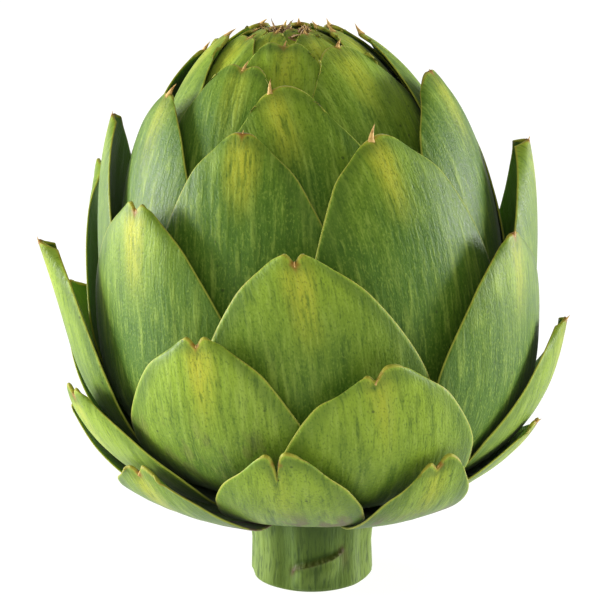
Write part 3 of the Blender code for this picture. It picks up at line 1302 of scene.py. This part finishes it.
@dataclass
class Ridge:
    """The scar on the stem where a leaf was.

    Its path lists (angle round the stem in degrees, height). Runs are in degrees from the path's two ends.
    Distances above and below the path are measured in crest widths. What's named "at" lists a middle and a
    width, and a brown lists its strength first.
    """

    path: Table = (
        *((-20, 0.0046), (-14, 0.0063), (-6, 0.0069), (3, 0.0074)),
        *((13, 0.0082), (22, 0.0087), (32, 0.0096)),
    )
    height: float = 0.0005
    width: float = 0.0009
    crest_slopes: Pair = (0.4, 0.5)
    crest_runs: tuple[Pair, Pair] = ((-2, 4), (-4, 2))
    swelling: float = 0.0011
    swelling_rise: Pair = (-0.0065, -0.0020)
    swelling_runs: tuple[Pair, Pair] = ((-3, 12), (-14, 4))
    seam_depth: float = 0.0005
    seam_at: Pair = (4.0, 1.6)
    seam_from: Pair = (0.4, 1.4)
    seam_to: Pair = (3.5, 6.0)
    under_depth: float = 0.0002
    under_at: Pair = (0.8, 0.6)
    # painted shadow: the groove under the crest is darkened
    under_dark: float = 0.8
    crest_brown: Triple = (0.55, -0.1, 0.55)
    end_brown: Triple = (0.95, 3.2, 1.2)
    end_insets: Pair = (1, -2)
    smear_brown: float = 0.5
    smear_at: Pair = (2, 4)
    smear_up_at: Pair = (-2.6, 2.2)

    def span(self, degrees: Array, runs: tuple[Pair, Pair]) -> Array:
        """Rises from 0 to 1 at the path's left end, and falls back at its right one, over the two runs.

        Args:
            degrees: round the stem.
            runs: the start and end of the rise, and of the fall.

        Returns:
            The curve's height.
        """
        (left, _), (right, _) = self.path[0], self.path[-1]
        rise, fall = ((end + run[0], end + run[1]) for end, run in zip((left, right), runs))
        return plateau(degrees, rise, fall)

    def shape(self, angle: Array, level: Array) -> tuple[Array, Array, Array]:
        """Shapes a dry raised edge, and the swelling with a seam under it.

        Args:
            angle: round the stem from the front.
            level: height above the cut.

        Returns:
            How far the skin is raised, its painted shade in the seam and in the groove under the crest from 0
            to 1, and how brown it is from 0 to 1.
        """
        degrees = np.degrees((angle + math.pi) % (2 * math.pi) - math.pi)
        line = np.interp(degrees, *zip(*self.path))
        on, soft = self.span(degrees, self.crest_runs), self.span(degrees, self.swelling_runs)
        above = (level - line) / self.width
        crest = bell(above, 0, np.where(above > 0, *self.crest_slopes)) * on
        low, high = self.swelling_rise
        swelling = smooth_step(level, line + low, line + high) * (above < 0) * soft
        seam = bell(degrees, *self.seam_at) * plateau(-above, self.seam_from, self.seam_to)
        under = bell(above, *self.under_at) * soft
        strength, middle, width = self.crest_brown
        brown = strength * bell(above, middle, width) * on
        strength, across, up = self.end_brown
        for (end, _), inset in zip((self.path[0], self.path[-1]), self.end_insets):
            brown = brown + strength * bell(degrees, end + inset, across) * bell(above, 0, up)
        aside, width = self.smear_at
        smear = bell(degrees, self.path[-1][0] + aside, width) * bell(above, *self.smear_up_at)
        brown = brown + self.smear_brown * smear
        raised = self.height * crest + self.swelling * swelling
        raised = raised - self.seam_depth * seam - self.under_depth * under
        # the second value is painted shade: in the groove under the crest and in the seam
        return raised, np.clip(self.under_dark * under + seam, 0, 1), np.clip(brown, 0, 1)


@dataclass
class Stem:
    """The cut stem and the heart that it swells into."""

    radius: float = 0.0134
    top_radius: float = 0.0139
    top: float = 0.0165
    waist: Pair = (0.0002, 0.008)
    chamfer: float = 0.0011
    rounding: Pair = (0.3, 0.35)
    heart_layers: Sequence[float] = (0.12, 0.25, 0.4, 0.55, 0.7, 0.85, 1.0)
    heart_clearance: float = 0.0022
    sides: int = 220
    rings: int = 120
    ring_crowding: float = 1.6
    skin_from: Pair = (0.0, 0.0012)
    skin_to: Pair = (0.017, 0.022)
    ridges: Sequence[Triple] = ((5, 0.5, 0.00020), (8, 2.1, 0.00022), (13, 4.0, 0.00016))
    twist: float = 25
    cut_edge: float = 0.0004
    full_ridge: float = 0.0009
    relief: Relief = Relief(0.0006, 0.0013, 0.0007, 0.009, 4.0)
    ridge: Ridge = field(default_factory=Ridge)

    def profile(self, shells: Shells) -> Array:
        """Lists (radius, height) from the cut face up to the top of the heart.

        Args:
            shells: the shells, which say where the heart ends.

        Returns:
            The rows.
        """
        inwards, upwards = self.rounding
        narrower, at = self.waist
        rows = [(self.radius - self.chamfer, 0.0)]
        rows += [(self.radius - inwards * self.chamfer, upwards * self.chamfer), (self.radius, self.chamfer)]
        rows += [(self.radius - narrower, at), (self.top_radius, self.top)]
        for layer in self.heart_layers:
            height = float(shells.midline(layer, 0.0)[1][0, 1])
            rows.append((at_layer(layer, shells.base_radius) - self.heart_clearance, height))
        return np.array(rows)

    def build(self, bench: Bench, skin: Material) -> Piece:
        """Makes the stem with its ridges and the scar of a leaf.

        Args:
            bench: what the pieces are made with.
            skin: its finish.

        Returns:
            The piece.
        """
        rows = self.profile(bench.shells)
        distance = np.concatenate([[0.0], np.cumsum(np.linalg.norm(np.diff(rows, axis=0), axis=1))])
        share = np.linspace(0, 1, self.rings) ** self.ring_crowding
        radius, height = (np.interp(share * distance[-1], distance, column) for column in rows.T)
        angle, level = np.meshgrid(np.linspace(0, 2 * math.pi, self.sides, endpoint=False), height)
        reach = np.repeat(radius[:, None], self.sides, axis=1)
        side = plateau(level, self.skin_from, self.skin_to)
        for count, phase, amount in self.ridges:
            reach = reach + side * amount * np.sin(count * angle + phase + self.twist * level)
        raised, seam_painted_shade, brown = self.ridge.shape(angle, level)
        reach = reach + side * raised

        number = np.arange(level.size).reshape(level.shape)
        low, high, faces = level.size, level.size + 1, side_faces(number)
        for k, after in enumerate(np.roll(np.arange(self.sides), -1)):
            faces += [(low, number[0, after], number[0, k]), (high, number[-1, k], number[-1, after])]
        bare, cut_end = np.zeros((2, 3)), np.array([(1.0, 0.0, 0.0), (0.0, 0.0, 0.0)])
        ends = np.array([(0.0, 0.0, 0.0), (0.0, 0.0, height[-1])])

        def with_ends(grid: Array, tail: Array) -> Array:
            """Adds the rows of the two end points to those of the grid."""
            return np.concatenate([grid.reshape(-1, 3), tail])

        made = add_mesh("stem", bench.lean.bend(with_ends(turned(angle, reach, level), ends)), faces)
        around = ((angle + math.pi) % (2 * math.pi) - math.pi) * self.radius
        cut = 1 - smooth_step(level, 0.0, self.cut_edge)
        ridged = smooth_step(reach - radius[:, None], 0.0, self.full_ridge)
        store(
            made,
            skin=with_ends(np.stack([around, level, seam_painted_shade], -1), bare),
            mark=with_ends(np.stack([cut, ridged, brown], -1), cut_end),
            outward=with_ends(turned(angle, side, 0 * level), bare),
        )
        bench.relief.apply(made, **asdict(self.relief), material=skin)
        return made


@dataclass
class Bud:
    """The tight bud of young leaves in the middle, hidden but for its top."""

    radius: float = 0.0215
    bottom: float = 0.0485
    top: float = 0.1195
    power_below: float = 0.8
    sides: int = 96
    rings: int = 60
    end_angle: float = 89
    leaf_turn: float = 0.9
    from_edge: float = 0.01
    tone: float = 0.3
    ochre: float = 0.4
    seed: float = 5
    relief: Relief = Relief(0.0006, 0.003, 0.0005, 0.01, 3.0)

    def build(self, bench: Bench, skin: Material) -> Piece:
        """Makes the bud.

        Args:
            bench: what the pieces are made with.
            skin: its finish.

        Returns:
            The piece.
        """
        shells, angles = bench.shells, np.radians(np.linspace(-self.end_angle, self.end_angle, self.rings))
        power = np.where(angles > 0, shells.power_above, self.power_below)
        reach = np.where(angles > 0, self.top - shells.belly, self.bottom - shells.belly)
        radius = self.radius * np.cos(angles) ** power
        height = shells.belly + reach * np.abs(np.sin(angles)) ** power
        turn, level = np.meshgrid(np.linspace(0, 2 * math.pi, self.sides, endpoint=False), height)
        spread = np.repeat(radius[:, None], self.sides, axis=1)
        number = np.arange(turn.size).reshape(turn.shape)
        faces = [tuple(number[0, ::-1]), tuple(number[-1]), *side_faces(number)]
        made = add_mesh("young_leaves", bench.lean.bend(turned(turn, spread, level).reshape(-1, 3)), faces)
        lateral = (turn % self.leaf_turn - self.leaf_turn / 2) * spread
        store(
            made,
            skin=(lateral.ravel(), self.top - level.ravel(), self.from_edge),
            mark=(0.0, self.tone, 0.0),
            hue=(self.ochre, 0.0, self.seed),
            outward=turned(turn, np.ones(turn.shape), 0 * turn).reshape(-1, 3),
        )
        bench.relief.apply(made, **asdict(self.relief), material=skin)
        return made


@dataclass(frozen=True)
class Lamp:
    """A rectangular light: its place, its width and height, its watts, and whether it shows in highlights."""

    name: str
    place: Triple
    size: Pair
    power: float
    glossy: bool


@dataclass
class Studio:
    """The floor, the soft light and the camera."""

    aim: Triple = (-0.0026, 0.0, 0.064)
    distance: float = 0.55
    elevation: float = 16.0
    lens: float = 150.0
    sensor: float = 36.0
    floor_size: float = 4.0
    floor_gap: float = 0.0002
    surround: Colour = (1.0, 1.0, 1.0)
    surround_strength: float = 0.15
    lamps: Sequence[Lamp] = (
        Lamp("left", (-1.14, 0.20, 0.12), (0.9, 0.34), 29.0, True),
        Lamp("right", (1.14, 0.28, 0.12), (0.8, 0.34), 21.0, True),
        Lamp("front", (-0.10, -1.10, 0.85), (0.9, 0.9), 6.5, False),
        Lamp("back", (0.0, 0.90, 1.10), (1.0, 1.0), 7.0, False),
    )

    def build(self) -> None:
        """Sets up everything round the object."""
        self.add_camera()
        self.add_floor()
        world = bpy.data.worlds.new("surround")
        bpy.context.scene.world = world
        world.use_nodes = True
        background = world.node_tree.nodes["Background"]
        background.inputs["Color"].default_value = (*self.surround, 1.0)
        background.inputs["Strength"].default_value = self.surround_strength
        for lamp in self.lamps:
            self.add_lamp(lamp)
        bpy.context.scene.view_settings.view_transform = "Standard"

    def add_camera(self) -> None:
        """Places the camera, level, in front of the object and a little above it."""
        lens = bpy.data.cameras.new("camera")
        lens.lens, lens.sensor_width = self.lens, self.sensor
        camera = bpy.data.objects.new("camera", lens)
        tilt = math.radians(self.elevation)
        away = Vector((0.0, -math.cos(tilt), math.sin(tilt)))
        self.stand(camera, Vector(self.aim) + self.distance * away)
        bpy.context.scene.camera = camera

    def add_floor(self) -> None:
        """Lays the floor just under the cut stem."""
        half = self.floor_size
        corners = [(-half, -half), (half, -half), (half, half), (-half, half)]
        points = np.array([(*corner, -self.floor_gap) for corner in corners])
        floor = add_mesh("floor", points, [tuple(range(len(points)))])
        floor.data.materials.append(PaleFloor().make())

    def add_lamp(self, lamp: Lamp) -> None:
        """Adds a lamp that faces the head.

        Args:
            lamp: its sizes and power.
        """
        light = bpy.data.lights.new(lamp.name, "AREA")
        light.shape, light.energy = "RECTANGLE", lamp.power
        light.size, light.size_y = lamp.size
        made = bpy.data.objects.new(lamp.name, light)
        made.visible_glossy = lamp.glossy
        self.stand(made, Vector(lamp.place))

    def stand(self, made: Piece, place: Vector) -> None:
        """Stands a camera or a lamp at a place, and turns it to the middle of the head.

        Args:
            made: the camera or the lamp.
            place: where it stands.
        """
        made.location, made.rotation_mode = place, "QUATERNION"
        made.rotation_quaternion = (Vector(self.aim) - place).to_track_quat("-Z", "Y")
        bpy.context.scene.collection.objects.link(made)


def bract_habits() -> dict[int, Habit]:
    """Lists the bracts that depart from the rule, by number.

    Returns:
        How each of them departs.
    """
    notched, spined, lobed, nub = Tip.NOTCHED, Tip.SPINED, Tip.LOBED_SPINE, Tip.NUB
    left = dict(turn=-2, rise=9, open=-0.003, blunt=1.4, foot=1.8, lift=0.0025)
    right = dict(turn=-13, rise=12, open=-0.002, breadth=0.67, blunt=1.4, foot=1.6, lift=0.0025)
    front = dict(turn=3.5, rise=6, breadth=0.85, blunt=1.5, notch=0.003, notch_at=-0.001, crack=0.0048)
    return {
        0: Habit(**left, tip=notched, notch_at=-0.0015, scar=1.0, tone=-0.45),
        2: Habit(**right, tip=notched, notch=0.003, notch_at=-0.0008, tilt=0.0016, scar=0.8, tone=-0.3),
        5: Habit(**front, tip=notched, ochre=0.3, scar=0.7),
        7: Habit(turn=-6, rise=-12, open=-0.003, tip=nub),
        8: Habit(rise=-2, blunt=1.1, tip=notched),
        10: Habit(-4, 2, lean=-0.003, breadth=0.9, blunt=1.5, tip=notched, notch_at=-0.0018, tilt=0.0024),
        11: Habit(rise=-4, open=0.0045, tip=nub),
        12: Habit(turn=-31, rise=-4, breadth=0.95, blunt=0.7, tip=nub),
        13: Habit(turn=6, breadth=0.88, blunt=1.2, tip=notched, tilt=0.0012, ochre=0.9, scar=0.25),
        15: Habit(turn=5, rise=8, open=-0.003, tip=nub, tone=-0.5),
        16: Habit(turn=4, open=0.004, breadth=0.75, blunt=0.7, tip=nub),
        18: Habit(turn=1, lean=-0.005, breadth=0.95, tip=notched, ochre=0.8),
        19: Habit(turn=8, rise=-2, open=0.010),
        20: Habit(turn=2, rise=7, open=0.005, blunt=0.7, tip=nub),
        21: Habit(turn=2, rise=-2, tip=notched, notch=0.0022, ochre=0.9),
        23: Habit(-2, 7, lean=-0.004, breadth=0.93, blunt=1.3, tip=spined, notch_at=-0.002, ochre=0.9),
        24: Habit(turn=7, rise=-1, open=0.002, blunt=0.7, tip=nub),
        26: Habit(turn=-0.5, rise=-3, breadth=0.92, blunt=1.1, tip=nub, ochre=0.9, tone=-0.25),
        28: Habit(turn=4, rise=4, open=0.004, blunt=1.7, tip=nub, tone=-0.4),
        29: Habit(turn=6, rise=-5, blunt=0.8, tip=spined, ochre=0.5, tone=-0.45, spine_lean=0.3),
        31: Habit(-12, -4, lean=-0.003, blunt=1.9, tip=spined, notch_at=-0.0028, ochre=0.75, spine_lean=-0.3),
        32: Habit(rise=-4),
        33: Habit(rise=6, tip=spined),
        34: Habit(turn=8, rise=-2, blunt=1.9, tip=lobed, notch=0.003, ochre=0.4, tone=-0.45),
        36: Habit(turn=-6, breadth=1.2, blunt=2.2, tip=spined, spine_lean=0.8),
        37: Habit(turn=4, rise=0, blunt=1.8, tip=spined),
        39: Habit(blunt=1.8, tip=lobed, notch=0.004),
    }


def dress(piece: Piece, node: str | None = None) -> None:
    """Hands a finished piece to the frame and reports it.

    Args:
        piece: the finished piece.
        node: the solid that it stands for, if any.
    """
    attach(piece, "root")
    if node is not None:
        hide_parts(node)
    log.info("%s: %d faces", piece.name, len(piece.data.polygons))


def main() -> None:
    """Builds the artichoke piece by piece, then the studio round it."""
    logging.basicConfig(level=logging.INFO, format="%(name)s: %(message)s")
    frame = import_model()
    log.info("solids loaded: %d", len(frame["nodes"]))
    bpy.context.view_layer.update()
    Studio().build()
    bench, spines = Bench(Shells(), Lean(), relief_tree()), spine_tree()
    bract_skin, stem_skin, dry_tip = BractSkin().make(), StemSkin().make(), DryTip().make()
    withered = DryTip("withered", dark=(0.050, 0.026, 0.010), straw=(0.330, 0.200, 0.080)).make()
    head = Head(bench, bract_habits())
    dress(Stem().build(bench, stem_skin), "stem_and_heart")
    dress(Bud().build(bench, bract_skin), "inner_bud")
    for bract in head.bracts:
        dress(head.build_bract(bract, bract_skin), bract.name)
    dress(head.build_spines(spines, dry_tip))
    dress(head.build_tuft(spines, withered))


if __name__ == "__main__":
    main()
